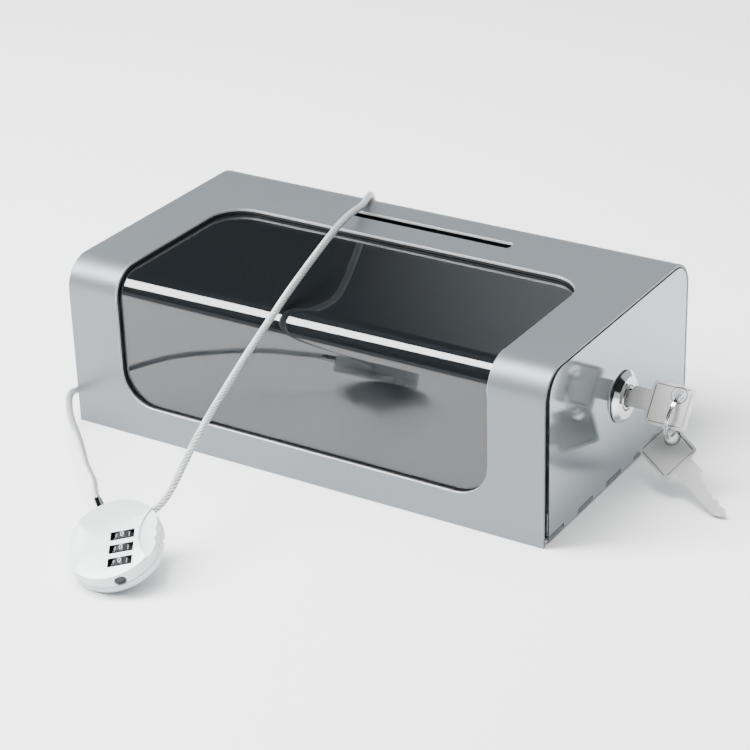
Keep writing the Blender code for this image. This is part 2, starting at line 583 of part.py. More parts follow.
def smooth_route(points, count):
    """Points spaced evenly along a Catmull-Rom curve through the given points."""
    pts = [Vector(p) for p in points]
    pts = [2 * pts[0] - pts[1]] + pts + [2 * pts[-1] - pts[-2]]
    fine = []
    for a, b, c, d in zip(pts, pts[1:], pts[2:], pts[3:]):
        for i in range(24):
            t = i / 24
            fine.append(0.5 * (2 * b + (c - a) * t + (2 * a - 5 * b + 4 * c - d) * t * t
                               + (3 * b - 3 * c + d - a) * t ** 3))
    fine.append(pts[-2])
    run = np.concatenate([[0], np.cumsum([(b - a).length for a, b in zip(fine, fine[1:])])])
    marks = np.linspace(0, run[-1], count)
    coords = np.array(fine)
    return [Vector(np.array([np.interp(m, run, coords[:, k]) for k in range(3)])) for m in marks]


def tether_cable():
    data = bpy.data.curves.new("tether_cable", "CURVE")
    data.dimensions = "3D"
    data.bevel_depth = CABLE_R
    data.bevel_resolution = 2
    data.use_fill_caps = True
    points = smooth_route([Vector(p) * MM for p in CABLE_ROUTE], 80)
    spline = data.splines.new("POLY")
    spline.points.add(len(points) - 1)
    for target, point in zip(spline.points, points):
        target.co = (*point, 1)
    obj = bpy.data.objects.new("tether_cable", data)
    data.materials.append(material("tether_cable", (0.6, 0.62, 0.63), 0.3, 0.8))
    bpy.context.scene.collection.objects.link(obj)


def cable_ferrule():
    """Crimped sleeve of the cable's fixed end, seated in the padlock."""
    radius, chamfer = FERRULE_R, 0.35 * MM
    low, high = PAD_R - FERRULE_IN, PAD_R + FERRULE_OUT
    profile = ((0, low), (radius, low), (radius, high - chamfer), (radius - chamfer, high), (0, high))
    add("cable_ferrule", lathe(profile, rim_frame(FERRULE_ANGLE), 20), (0.6, 0.61, 0.62), 0.2, 1.0, smooth=40)


def cable_pin():
    """Steel tip of the cable's free end, with the groove that the padlock's bolt holds."""
    radius, neck = CABLE_PIN_R, CABLE_PIN_R - 0.5 * MM
    low, high = PAD_R - CABLE_PIN_IN, PAD_R - 0.1 * MM
    profile = ((0, low), (neck, low), (radius, low + 0.8 * MM), (radius, low + 2.4 * MM), (neck, low + 2.8 * MM),
               (neck, low + 4.2 * MM), (radius, low + 4.6 * MM), (radius, high), (0, high))
    add("cable_pin", lathe(profile, rim_frame(PIN_ANGLE), 20), (0.6, 0.61, 0.62), 0.2, 1.0, smooth=40)


def tether_eye():
    """Saddle of bent sheet on the back wall, standing off to pass the cable."""
    y0 = DEPTH / 2 + FIT
    half, out, foot = EYE_W / 2, EYE_OUT, EYE_FOOT
    s = EYE_SHEET
    outer = [(-half - foot, y0), (-half - foot, y0 + s), (-half - s, y0 + s), (-half, y0 + out), (half, y0 + out),
             (half + s, y0 + s), (half + foot, y0 + s), (half + foot, y0)]
    inner = [(half, y0), (half - s, y0 + out - s), (-half + s, y0 + out - s), (-half, y0)]
    outline = [(EYE_X + x, y) for x, y in outer + inner]
    add("tether_eye", prism(outline, along_z, EYE_Z - EYE_H / 2, EYE_Z + EYE_H / 2), (0.5, 0.52, 0.54), 0.35, 0.9,
        smooth=30)


def eye_rivet(number, side):
    centre = (EYE_X + side * (EYE_W / 2 + EYE_FOOT / 2 + 0.4 * MM), DEPTH / 2 + 2 * FIT + EYE_SHEET, EYE_Z)
    frame = frame_to((1, 0, 0), (0, 0, -1), centre)
    profile = ((0, 0), (RIVET_R, 0), (RIVET_R, 0.25 * MM), (RIVET_R * 0.8, 0.7 * RIVET_HEAD),
               (RIVET_R * 0.4, RIVET_HEAD), (0, RIVET_HEAD))
    add(f"eye_rivet_{number}", lathe(profile, frame, 18), (0.6, 0.61, 0.62), 0.3, 1.0, smooth=40)


# --- padlock ---------------------------------------------------------------------------------------------

def dial_frame(y):
    """A frame on the dials' axle, at a place along it, whose Z is the axle."""
    return PAD_FRAME @ Matrix.Translation((DIAL_X, y, DIAL_Z)) @ Matrix.Rotation(math.pi / 2, 4, "X")


def cut_shared_room(cover):
    """Both shells give room to the wheels, their axle and the button, and are flat and notched where fingers grip."""
    tag = cover.name
    for i, y in enumerate(DIAL_YS):
        half = DIAL_W / 2 + FIT
        cut(cover, f"cut_{tag}_wheel_{i}", cylinder(dial_frame(y), DIAL_R + FIT, -half, half, 28))
    axle = AXLE_HALF + FIT
    cut(cover, f"cut_{tag}_axle", cylinder(dial_frame(DIAL_YS[1]), AXLE_R + FIT, -axle, axle, 16))
    button = cylinder(rim_frame(BUTTON_ANGLE, BUTTON_Z), BUTTON_R + FIT, PAD_R - BUTTON_POCKET, PAD_R + 3 * MM, 20)
    cut(cover, f"cut_{tag}_button", button)
    flat = [(PAD_FLAT, -PAD_R), (PAD_R + MM, -PAD_R), (PAD_R + MM, PAD_R), (PAD_FLAT, PAD_R)]
    for side in (0, 180):
        turned = PAD_FRAME @ Matrix.Rotation(math.radians(side), 4, "Z")
        cut(cover, f"cut_{tag}_flat_{side}", prism(flat, in_frame(turned), -PAD_T, PAD_T))
        for i, angle in enumerate(GRIP_ANGLES):
            place = (PAD_FLAT + GRIP_R - GRIP_DEPTH, PAD_R * math.sin(math.radians(angle)), 0)
            grip = cylinder(turned @ Matrix.Translation(place), GRIP_R, -PAD_T, PAD_T, 12)
            cut(cover, f"cut_{tag}_grip_{side}_{i}", grip)


def padlock_front():
    """Front shell, with the dial windows, a finger wing sunk at each side and the two cable holes."""
    low, high, edge = PAD_PARTING + FIT / 2, PAD_T / 2, PAD_EDGE * 0.45
    profile = ((0, low), (PAD_R, low), (PAD_R, high - edge), (PAD_R - edge * 0.3, high - edge * 0.3),
               (PAD_R - edge, high), (0, high))
    cover = add("padlock_front", lathe(profile, PAD_FRAME, 72), (0.75, 0.78, 0.79), 0.4, 0.4, smooth=30)
    for side in (-1, 1):
        frame = PAD_FRAME @ Matrix.Translation((side * WING_CUT_AT, 0, 0))
        cut(cover, f"cut_wing_{side}", cylinder(frame, WING_CUT_R, high - WING_STEP, high + 3 * MM, 72))
    half_l, half_w = DIAL_WINDOW[0] / 2, DIAL_WINDOW[1] / 2
    for i, y in enumerate(DIAL_YS):
        window = [(DIAL_X - half_l, y - half_w), (DIAL_X + half_l, y - half_w),
                  (DIAL_X + half_l, y + half_w), (DIAL_X - half_l, y + half_w)]
        cut(cover, f"cut_dial_window_{i}", prism(window, in_frame(PAD_FRAME), high - DIAL_WINDOW_DEPTH, high + MM))
    cut_shared_room(cover)
    holes = (("pin", PIN_ANGLE, CABLE_PIN_R, CABLE_PIN_IN), ("ferrule", FERRULE_ANGLE, FERRULE_R, FERRULE_IN))
    for tag, angle, radius, inside in holes:
        hole = cylinder(rim_frame(angle), radius + FIT, PAD_R - inside - FIT, PAD_R + 3 * MM, 20)
        cut(cover, f"cut_{tag}_hole", hole)


def padlock_back():
    low, high, edge = -PAD_T / 2, PAD_PARTING - FIT / 2, PAD_EDGE
    profile = ((0, low), (PAD_R - edge, low), (PAD_R - edge * 0.3, low + edge * 0.3), (PAD_R, low + edge),
               (PAD_R, high), (0, high))
    cover = add("padlock_back", lathe(profile, PAD_FRAME, 72), (0.75, 0.78, 0.79), 0.4, 0.4, smooth=30)
    cut_shared_room(cover)
    for i, (x, y) in enumerate(SCREW_PLACES):
        frame = PAD_FRAME @ Matrix.Translation((x, y, 0))
        cut(cover, f"cut_screw_{i}", cylinder(frame, SCREW_HEAD_R + FIT, low - MM, low + SCREW_SUNK, 20))


def dial_wheel(number, y):
    """Ten-sided number wheel with a groove between its facets."""
    frame = dial_frame(y)
    outline = []
    for i in range(10):
        start = 36 * i + 4
        outline += arc((0, 0), DIAL_R, start, start + 28, 2)
        groove = math.radians(36 * i + 36)
        outline.append((DIAL_R * DIAL_GROOVE * math.cos(groove), DIAL_R * DIAL_GROOVE * math.sin(groove)))
    wheel = add(f"dial_{number}", prism(outline, in_frame(frame), -DIAL_W / 2, DIAL_W / 2), (0.08, 0.085, 0.09), 0.3,
                0.6, smooth=20)
    cut(wheel, f"cut_dial_{number}", cylinder(frame, AXLE_R + FIT, -DIAL_W, DIAL_W, 16))
    hang(wheel, frame.translation)


def dial_axle():
    axle = cylinder(dial_frame(DIAL_YS[1]), AXLE_R, -AXLE_HALF, AXLE_HALF, 16)
    add("dial_axle", axle, (0.5, 0.5, 0.5), 0.3, 1.0, smooth=40)


def release_button():
    frame = rim_frame(BUTTON_ANGLE, BUTTON_Z)
    low, high = PAD_R - BUTTON_IN, PAD_R - 0.5 * MM
    profile = ((0, low), (BUTTON_R, low), (BUTTON_R, high - 0.6 * MM), (BUTTON_R * 0.8, high - 0.2 * MM),
               (BUTTON_R * 0.4, high), (0, high))
    button = add("release_button", lathe(profile, frame, 20), (0.12, 0.12, 0.12), 0.35, 0.8, smooth=40)
    hang(button, frame.translation)


def padlock_screw(number, x, y):
    """Sunk pan head with a cross slot."""
    frame = PAD_FRAME @ Matrix.Translation((x, y, -PAD_T / 2))
    low, chamfer = SCREW_SUNK - FIT - SCREW_HEAD_T, 0.2 * MM
    profile = ((0, low), (SCREW_HEAD_R - chamfer, low), (SCREW_HEAD_R, low + chamfer),
               (SCREW_HEAD_R, low + SCREW_HEAD_T), (0, low + SCREW_HEAD_T))
    screw = add(f"padlock_screw_{number}", lathe(profile, frame, 20), (0.5, 0.5, 0.5), 0.3, 1.0, smooth=40)
    reach, half = SCREW_SLOT
    bar = [(-reach, -half), (reach, -half), (reach, half), (-reach, half)]
    for i in range(2):
        turned = frame @ Matrix.Rotation(i * math.pi / 2, 4, "Z")
        cut(screw, f"cut_screw_cross_{number}_{i}", prism(bar, in_frame(turned), -MM, 0.7 * MM))


def build():
    for obj in list(bpy.data.objects):
        bpy.data.objects.remove(obj)
    for piece in (body_wrap, base_tray, left_end_panel, window_gasket, window_pane, strike_bracket, hinge_pin,
                  door_panel, lock_housing, lock_nut, lock_plug, lock_cam, cam_nut, key_in_lock, key_ring, spare_key,
                  tether_eye, tether_cable, cable_ferrule, cable_pin, padlock_front, padlock_back, dial_axle,
                  release_button):
        piece()
    for number, y in enumerate(DIAL_YS, 1):
        dial_wheel(number, y)
    for number, side in enumerate((-1, 1), 1):
        eye_rivet(number, side)
    for number, place in enumerate(SCREW_PLACES, 1):
        padlock_screw(number, *place)


build()
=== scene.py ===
import json
import math

import bmesh
import bpy
from mathutils import Matrix, Vector


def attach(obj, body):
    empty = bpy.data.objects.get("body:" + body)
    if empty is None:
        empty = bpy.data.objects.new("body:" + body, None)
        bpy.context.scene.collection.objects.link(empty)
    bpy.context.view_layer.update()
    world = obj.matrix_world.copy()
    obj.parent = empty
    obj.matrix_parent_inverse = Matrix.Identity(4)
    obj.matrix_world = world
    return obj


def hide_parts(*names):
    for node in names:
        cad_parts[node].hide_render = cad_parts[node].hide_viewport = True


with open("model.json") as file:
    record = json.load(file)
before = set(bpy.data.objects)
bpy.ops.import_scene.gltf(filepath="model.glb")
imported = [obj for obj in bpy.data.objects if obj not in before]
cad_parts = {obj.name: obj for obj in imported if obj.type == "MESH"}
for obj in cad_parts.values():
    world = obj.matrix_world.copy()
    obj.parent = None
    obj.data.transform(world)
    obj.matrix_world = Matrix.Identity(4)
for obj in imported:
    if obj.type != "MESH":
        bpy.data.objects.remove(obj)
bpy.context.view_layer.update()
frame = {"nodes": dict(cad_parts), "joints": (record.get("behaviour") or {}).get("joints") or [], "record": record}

mm = 0.001
print("frame loaded:", len(frame["nodes"]), "nodes")

cameraSet = {
    "place": (0.5114, -0.8112, 0.5002),
    "azimuth": 32.351, "elevation": 26.52, "roll": -1.74,
    "lens": 113.61,
}
lightSet = {
    "floorSize": 9.0,
    "floorColor": (0.93, 0.935, 0.94),
    # a white sweep up to a low edge, and a dark room over it, by the sine of the elevation
    "sweepEdge": (0.13, 0.24), "sweepStrength": 0.82, "roomStrength": 0.03,
    # a soft card in the dark part: direction, cosines where it begins and is full, strength
    "card": ((0.2, 0.87, 0.446), (0.73, 0.83), 0.75),
    "roomColor": (0.91, 0.96, 1, 1),
    # name, place, aim, size, power, and whether glossy surfaces mirror it
    "softboxes": (
        ("bendStrip", (-0.55, -0.42, 1.15), (0, 0, 0.05), (1.5, 0.42), 70, True),
        ("floorFill", (0, -0.2, 2.6), (0, 0, 0), (3.5, 3.5), 150, False),
        ("keySide", (-1.5, -1.6, 1.3), (0, 0, 0.03), (1.0, 1.0), 12, False),
    ),
}


def addCamera(s):
    az, el, roll = (math.radians(s[k]) for k in ("azimuth", "elevation", "roll"))
    back = Vector((math.sin(az) * math.cos(el), -math.cos(az) * math.cos(el), math.sin(el)))
    right = Vector((math.cos(az), math.sin(az), 0))
    up = back.cross(right)
    turnedRight = right * math.cos(roll) + up * math.sin(roll)
    turnedUp = up * math.cos(roll) - right * math.sin(roll)
    data = bpy.data.cameras.new("viewCamera")
    data.lens = s["lens"]
    data.sensor_width = 36
    data.clip_start = 0.01
    camera = bpy.data.objects.new("viewCamera", data)
    bpy.context.scene.collection.objects.link(camera)
    turn = Matrix((turnedRight, turnedUp, back)).transposed().to_4x4()
    camera.matrix_world = Matrix.Translation(s["place"]) @ turn
    bpy.context.scene.camera = camera


def addSoftbox(name, place, aim, size, power, mirrored):
    data = bpy.data.lights.new(name, "AREA")
    data.shape = "RECTANGLE"
    data.size, data.size_y = size
    data.energy = power
    light = bpy.data.objects.new(name, data)
    bpy.context.scene.collection.objects.link(light)
    toward = Vector(aim) - Vector(place)
    turn = toward.to_track_quat("-Z", "X").to_matrix().to_4x4()
    light.matrix_world = Matrix.Translation(place) @ turn
    light.visible_glossy = mirrored


def addRoom(s):
    world = bpy.data.worlds.new("studioRoom")
    world.use_nodes = True
    bpy.context.scene.world = world
    nodes, links = world.node_tree.nodes, world.node_tree.links
    coords = nodes.new("ShaderNodeTexCoord")
    split = nodes.new("ShaderNodeSeparateXYZ")
    sweep, card = nodes.new("ShaderNodeMapRange"), nodes.new("ShaderNodeMapRange")
    direction, span, strength = s["card"]
    ramps = ((sweep, *s["sweepEdge"], s["sweepStrength"], s["roomStrength"]), (card, *span, 0, strength))
    for node, *values in ramps:
        node.interpolation_type = "SMOOTHSTEP"
        for label, value in zip(("From Min", "From Max", "To Min", "To Max"), values):
            node.inputs[label].default_value = value
    along = nodes.new("ShaderNodeVectorMath")
    along.operation = "DOT_PRODUCT"
    along.inputs[1].default_value = Vector(direction).normalized()
    total = nodes.new("ShaderNodeMath")
    total.operation = "MAXIMUM"
    links.new(coords.outputs["Generated"], split.inputs["Vector"])
    links.new(coords.outputs["Generated"], along.inputs[0])
    links.new(split.outputs["Z"], sweep.inputs["Value"])
    links.new(along.outputs["Value"], card.inputs["Value"])
    links.new(sweep.outputs["Result"], total.inputs[0])
    links.new(card.outputs["Result"], total.inputs[1])
    links.new(total.outputs[0], nodes["Background"].inputs["Strength"])
    nodes["Background"].inputs["Color"].default_value = s["roomColor"]


def addFloor(s):
    mesh = bpy.data.meshes.new("studioFloor")
    half = s["floorSize"] / 2
    corners = [(-half, -half, 0), (half, -half, 0), (half, half, 0), (-half, half, 0)]
    mesh.from_pydata(corners, [], [(0, 1, 2, 3)])
    floor = bpy.data.objects.new("studioFloor", mesh)
    bpy.context.scene.collection.objects.link(floor)
    mat = bpy.data.materials.new("paleFloor")
    mat.use_nodes = True
    paint = mat.node_tree.nodes["Principled BSDF"]
    paint.inputs["Base Color"].default_value = (*s["floorColor"], 1)
    paint.inputs["Roughness"].default_value = 0.7
    mesh.materials.append(mat)


addCamera(cameraSet)
addRoom(lightSet)
addFloor(lightSet)
for box in lightSet["softboxes"]:
    addSoftbox(*box)
print("camera, floor and light made")


def newGroup(name, inputs, outputs):
    tree = bpy.data.node_groups.new(name, "ShaderNodeTree")
    for label, kind, value in inputs:
        socket = tree.interface.new_socket(label, in_out="INPUT", socket_type=kind)
        socket.default_value = value
    for label, kind in outputs:
        tree.interface.new_socket(label, in_out="OUTPUT", socket_type=kind)
    return tree, tree.nodes.new("NodeGroupInput"), tree.nodes.new("NodeGroupOutput")


def grainGroup():
    # fine even grain, such as powder paint or blasted metal
    floatKind = "NodeSocketFloat"
    takes = [("Scale", floatKind, 2500.0), ("Colour Share", floatKind, 0.1)]
    tree, given, out = newGroup("fineGrain", takes, [("Height", floatKind), ("Tint", "NodeSocketColor")])
    nodes, links = tree.nodes, tree.links
    coords = nodes.new("ShaderNodeTexCoord")
    noise = nodes.new("ShaderNodeTexNoise")
    noise.inputs["Detail"].default_value = 3
    noise.inputs["Roughness"].default_value = 0.6
    low = nodes.new("ShaderNodeMath")
    low.operation = "MULTIPLY_ADD"
    half = nodes.new("ShaderNodeMath")
    half.operation = "SUBTRACT"
    half.inputs[1].default_value = 0.5
    grey = nodes.new("ShaderNodeCombineColor")
    links.new(coords.outputs["Object"], noise.inputs["Vector"])
    links.new(given.outputs["Scale"], noise.inputs["Scale"])
    links.new(noise.outputs["Fac"], half.inputs[0])
    links.new(half.outputs[0], low.inputs[0])
    links.new(given.outputs["Colour Share"], low.inputs[1])
    low.inputs[2].default_value = 1
    for side in ("Red", "Green", "Blue"):
        links.new(low.outputs[0], grey.inputs[side])
    links.new(grey.outputs["Color"], out.inputs["Tint"])
    links.new(noise.outputs["Fac"], out.inputs["Height"])
    return tree


def handlingGroup():
    # broad soft smudges that change the roughness a little
    floatKind = "NodeSocketFloat"
    takes = [("Scale", floatKind, 30.0), ("Roughness", floatKind, 0.3), ("Spread", floatKind, 0.06)]
    tree, given, out = newGroup("handlingMarks", takes, [("Roughness", floatKind)])
    nodes, links = tree.nodes, tree.links
    coords = nodes.new("ShaderNodeTexCoord")
    noise = nodes.new("ShaderNodeTexNoise")
    noise.inputs["Detail"].default_value = 5
    noise.inputs["Distortion"].default_value = 0.8
    shift = nodes.new("ShaderNodeMath")
    shift.operation = "SUBTRACT"
    shift.inputs[1].default_value = 0.5
    blend = nodes.new("ShaderNodeMath")
    blend.operation = "MULTIPLY_ADD"
    links.new(coords.outputs["Object"], noise.inputs["Vector"])
    links.new(given.outputs["Scale"], noise.inputs["Scale"])
    links.new(noise.outputs["Fac"], shift.inputs[0])
    links.new(shift.outputs[0], blend.inputs[0])
    links.new(given.outputs["Spread"], blend.inputs[1])
    links.new(given.outputs["Roughness"], blend.inputs[2])
    links.new(blend.outputs[0], out.inputs["Roughness"])
    return tree


fineGrain = grainGroup()
handlingMarks = handlingGroup()


def finish(name, color, metallic, roughness, grain=2500, tint=0.1, bump=0.2, depth=0.00002, spread=0.06,
           smudge=30):
    mat = bpy.data.materials.new(name)
    mat.use_nodes = True
    nodes, links = mat.node_tree.nodes, mat.node_tree.links
    paint = nodes["Principled BSDF"]
    paint.inputs["Metallic"].default_value = metallic
    grains = nodes.new("ShaderNodeGroup")
    grains.node_tree = fineGrain
    grains.inputs["Scale"].default_value = grain
    grains.inputs["Colour Share"].default_value = tint
    marks = nodes.new("ShaderNodeGroup")
    marks.node_tree = handlingMarks
    marks.inputs["Scale"].default_value = smudge
    marks.inputs["Roughness"].default_value = roughness
    marks.inputs["Spread"].default_value = spread
    mix = nodes.new("ShaderNodeMix")
    mix.data_type = "RGBA"
    mix.blend_type = "MULTIPLY"
    mix.inputs["Factor"].default_value = 1
    mix.inputs["A"].default_value = (*color, 1)
    links.new(grains.outputs["Tint"], mix.inputs["B"])
    links.new(mix.outputs["Result"], paint.inputs["Base Color"])
    links.new(marks.outputs["Roughness"], paint.inputs["Roughness"])
    relief = nodes.new("ShaderNodeBump")
    relief.inputs["Strength"].default_value = bump
    relief.inputs["Distance"].default_value = depth
    links.new(grains.outputs["Height"], relief.inputs["Height"])
    links.new(relief.outputs["Normal"], paint.inputs["Normal"])
    return mat


def smokedAcrylic():
    mat = finish("smokedAcrylic", (0.05, 0.062, 0.072), 0.0, 0.035, grain=40, tint=0.05, bump=0.02,
                 spread=0.02, smudge=18)
    paint = mat.node_tree.nodes["Principled BSDF"]
    paint.inputs["Transmission Weight"].default_value = 0.9
    paint.inputs["IOR"].default_value = 1.72
    return mat


powderCoat = finish("powderCoat", (0.172, 0.192, 0.21), 0.6, 0.42, grain=3000, tint=0.22, bump=0.3,
                    depth=0.00003)
# light finish used as a painted highlight on the cut edges of the sheet
cutEdgeHighlight = finish("cutEdgeHighlight", (0.8, 0.82, 0.84), 0.5, 0.35, grain=3000, tint=0.1, bump=0.1)
doorGloss = finish("doorGloss", (0.33, 0.372, 0.395), 0.92, 0.1, grain=3500, tint=0.1, bump=0.04, spread=0.03)
acrylic = smokedAcrylic()
foam = finish("foam", (0.02, 0.021, 0.022), 0.0, 0.5, grain=1800, tint=0.4, bump=0.4, depth=0.0001)
zincSteel = finish("zincSteel", (0.5, 0.51, 0.52), 0.95, 0.32, grain=1200, tint=0.2, bump=0.25, spread=0.15)
chrome = finish("chrome", (0.72, 0.73, 0.74), 1.0, 0.05, grain=900, tint=0.04, bump=0.03, spread=0.03)
plugSteel = finish("plugSteel", (0.5, 0.5, 0.5), 1.0, 0.18, grain=1500, tint=0.15, bump=0.1, spread=0.08)
keyNickel = finish("keyNickel", (0.66, 0.66, 0.65), 0.6, 0.34, grain=1600, tint=0.25, bump=0.4, spread=0.1)
padSilver = finish("padSilver", (0.64, 0.68, 0.69), 0.3, 0.42, grain=3200, tint=0.22, bump=0.35, spread=0.05)
# near-black finish used as painted shade inside hollows
hollowShadePaint = finish("hollowShadePaint", (0.008, 0.008, 0.009), 0.1, 0.5, grain=2000, tint=0.3, bump=0.1)
dialDark = finish("dialDark", (0.035, 0.038, 0.04), 0.5, 0.26, grain=2000, tint=0.2, bump=0.15)
dialInk = finish("dialInk", (0.45, 0.47, 0.49), 0.4, 0.35, grain=1800, tint=0.1, bump=0.05)
buttonDark = finish("buttonDark", (0.018, 0.018, 0.02), 0.3, 0.35, grain=1800, tint=0.15, bump=0.1)
print("finishes made")


def placed(obj, body, nodes, mat):
    obj.data.materials.clear()
    obj.data.materials.append(mat)
    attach(obj, body)
    if nodes:
        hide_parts(*nodes)
    return obj


def bodyOf(node):
    for body, members in frame["record"]["behaviour"]["bodies"].items():
        if node in members:
            return body
    raise ValueError(node)


def baked(obj):
    # turns an object with modifiers into a plain one
    bpy.context.view_layer.update()
    result = bpy.data.meshes.new_from_object(obj.evaluated_get(bpy.context.evaluated_depsgraph_get()))
    old = obj.data
    obj.modifiers.clear()
    obj.data = result
    if old.users == 0:
        bpy.data.meshes.remove(old)
    return obj


def framed(across, along, origin):
    x = Vector(across).normalized()
    z = x.cross(Vector(along)).normalized()
    place = Matrix((x, z.cross(x), z)).transposed().to_4x4()
    place.translation = Vector(origin)
    return place


def roundedSquare(half, radius, steps=4):
    points = []
    for quarter in range(4):
        middle = math.radians(45 + 90 * quarter)
        reach = (half - radius) * math.sqrt(2)
        cx, cy = reach * math.cos(middle), reach * math.sin(middle)
        for i in range(steps + 1):
            angle = math.radians(90 * quarter + 90 * i / steps)
            points.append((cx + radius * math.cos(angle), cy + radius * math.sin(angle)))
    return points


def circle(radius, centre=(0, 0), steps=40):
    turn = [2 * math.pi * i / steps for i in range(steps)]
    return [(centre[0] + radius * math.cos(t), centre[1] + radius * math.sin(t)) for t in turn]


def bandSolid(outer, inner, place, low, high):
    # a closed band between two outlines with the same number of points, or a plain prism when inner is None
    bm = bmesh.new()
    rings = [[bm.verts.new(place @ Vector((u, v, w))) for u, v in line]
             for line in (outer, inner) if line for w in (low, high)]
    count = len(outer)
    for i in range(count):
        j = (i + 1) % count
        bm.faces.new((rings[0][i], rings[0][j], rings[1][j], rings[1][i]))
        if inner:
            bm.faces.new((rings[2][j], rings[2][i], rings[3][i], rings[3][j]))
            bm.faces.new((rings[1][i], rings[1][j], rings[3][j], rings[3][i]))
            bm.faces.new((rings[0][j], rings[0][i], rings[2][i], rings[2][j]))
    if not inner:
        bm.faces.new(rings[0][::-1])
        bm.faces.new(rings[1])
    mesh = bpy.data.meshes.new("cutter")
    bm.to_mesh(mesh)
    bm.free()
    obj = bpy.data.objects.new("cutter", mesh)
    bpy.context.scene.collection.objects.link(obj)
    return obj


def painted(obj, mat, inside):
    # gives a second finish to the faces whose middle and normal pass the test
    obj.data.materials.append(mat)
    index = len(obj.data.materials) - 1
    for face in obj.data.polygons:
        if inside(face.center / mm, face.normal):
            face.material_index = index


# how an edge is found and broken: a distance, two angles in degrees and a count
edgeSet = {"merge": 0.002 * mm, "flat": 0.6, "sharp": 32, "segments": 2}


def softened(node, mat, width, cutters, s):
    source = frame["nodes"][node].data
    bm = bmesh.new()
    bm.from_mesh(source)
    bmesh.ops.remove_doubles(bm, verts=bm.verts, dist=s["merge"])
    bmesh.ops.dissolve_limit(bm, angle_limit=math.radians(s["flat"]), verts=bm.verts, edges=bm.edges)
    mesh = bpy.data.meshes.new(node + "_fine")
    bm.to_mesh(mesh)
    bm.free()
    obj = bpy.data.objects.new(node + "_fine", mesh)
    bpy.context.scene.collection.objects.link(obj)
    for i, cutter in enumerate(cutters):
        groove = obj.modifiers.new(f"groove{i}", "BOOLEAN")
        groove.object = cutter
        groove.solver = "EXACT"
    if cutters:
        baked(obj)
        for cutter in cutters:
            bpy.data.objects.remove(cutter)
    obj.data.shade_smooth()
    obj.data.set_sharp_from_angle(angle=math.radians(s["sharp"]))
    if width:
        bevel = obj.modifiers.new("brokenEdge", "BEVEL")
        bevel.width = width
        bevel.segments = s["segments"]
        bevel.limit_method = "ANGLE"
        bevel.angle_limit = math.radians(s["sharp"])
        bevel.use_clamp_overlap = True
        bevel.harden_normals = True
    baked(obj)
    return placed(obj, bodyOf(node), [node], mat)


# the keys' borders and collars are outlined by a groove, whose walls get painted shade (mm)
keySet = {
    "borderHalf": 8.4, "corner": 1.6, "collar": 3.4, "hole": (-3.0, 5.2), "hang": 0.5,
    "line": 0.36, "deep": 0.14, "field": 0.6, "clear": 0.5,
    "bow": (141.7, 3.6, 38.4), "rise": 0.8, "lean": math.atan2(0.6, 0.8),
    "spareAlong": (0.853, -0.314, -0.417), "spareSide": (0.521, 0.563, 0.642),
    "spareRing": (142.311, 6.9, 23.346),
}


def keyPlaces(s):
    side = Vector((0, math.sin(s["lean"]), math.cos(s["lean"])))
    first = framed((-1, 0, 0), side, Vector(s["bow"]) + side * s["rise"])
    turn = framed(s["spareAlong"], s["spareSide"], (0, 0, 0))
    along, side, flat = (turn.col[i].to_3d() for i in range(3))
    up = (Vector((0, 0, 1)) - flat * flat.z).normalized()
    centre = Vector(s["spareRing"]) - up * s["hang"] - along * s["hole"][0] - side * s["hole"][1]
    return {"key": first, "spare_key": framed(s["spareAlong"], s["spareSide"], centre)}


def keyGrooves(place, s):
    scaled = Matrix.Scale(mm, 4) @ place
    half, wide, corner = s["borderHalf"], s["line"], s["corner"]
    lines = ((roundedSquare(half, corner), roundedSquare(half - wide, corner - wide)),
             (circle(s["collar"] + wide, s["hole"]), circle(s["collar"], s["hole"])))
    bottom, top = s["field"] - s["deep"], s["field"] + s["clear"]
    cutters = []
    for outer, inner in lines:
        for low, high in ((bottom, top), (-top, -bottom)):
            cutters.append(bandSolid(outer, inner, scaled, low, high))
    return cutters


def inGroove(place, s):
    back = place.inverted()
    half, wide = s["borderHalf"], s["line"] + 0.03

    def test(point, normal):
        x, y, z = back @ point
        if abs(z) > s["field"] - 0.02:
            return False
        reach = max(abs(x), abs(y))
        far = math.hypot(x - s["hole"][0], y - s["hole"][1])
        atBorder = half - wide < reach < half + 0.02
        return atBorder or s["collar"] - 0.02 < far < s["collar"] + wide
    return test


places = keyPlaces(keySet)
# dark finish used as painted shade on the walls of the key grooves
keyGrooveShade = finish("keyGrooveShade", (0.05, 0.05, 0.05), 0.6, 0.4, grain=1600, tint=0.2, bump=0.1)

# the padlock's place, turn (degrees) and wheel windows (mm)
padSet = {
    "centre": (-22.42, -168.29, 12.76), "heading": -6.7, "lean": 24.9, "spin": 34.5,
    "wheelX": 4.5, "wheelYs": (1.0, -5.8, -12.6), "faceZ": 5.0, "roomHalf": (5.35, 2.35), "rim": 0.12,
}
padPlace = (Matrix.Translation(padSet["centre"]) @ Matrix.Rotation(math.radians(padSet["heading"]), 4, "Z")
            @ Matrix.Rotation(math.radians(padSet["lean"]), 4, "X")
            @ Matrix.Rotation(math.radians(padSet["spin"]), 4, "Z"))
padBack = padPlace.inverted()


def inWheelRoom(point, normal):
    x, y, z = padBack @ point
    wide, high = padSet["roomHalf"]
    near = any(abs(y - wheel) < high for wheel in padSet["wheelYs"])
    return near and abs(x - padSet["wheelX"]) < wide and z < padSet["faceZ"] - padSet["rim"]


# where the sheet's top, front and ends lie, to find the walls of the window and the coin slot (mm)
cutSet = {"ends": 110, "top": 77.6, "topHalf": 53, "front": -60, "frontSpan": (5, 62)}


def atCutEdge(point, normal):
    x, y, z = point
    low, high = cutSet["frontSpan"]
    if abs(x) > cutSet["ends"]:
        return False
    if z > cutSet["top"] and abs(y) < cutSet["topHalf"]:
        return abs(normal.z) < 0.8
    if y < cutSet["front"] and low < z < high:
        return abs(normal.y) < 0.8
    return abs(normal.x) > 0.35 and z > low


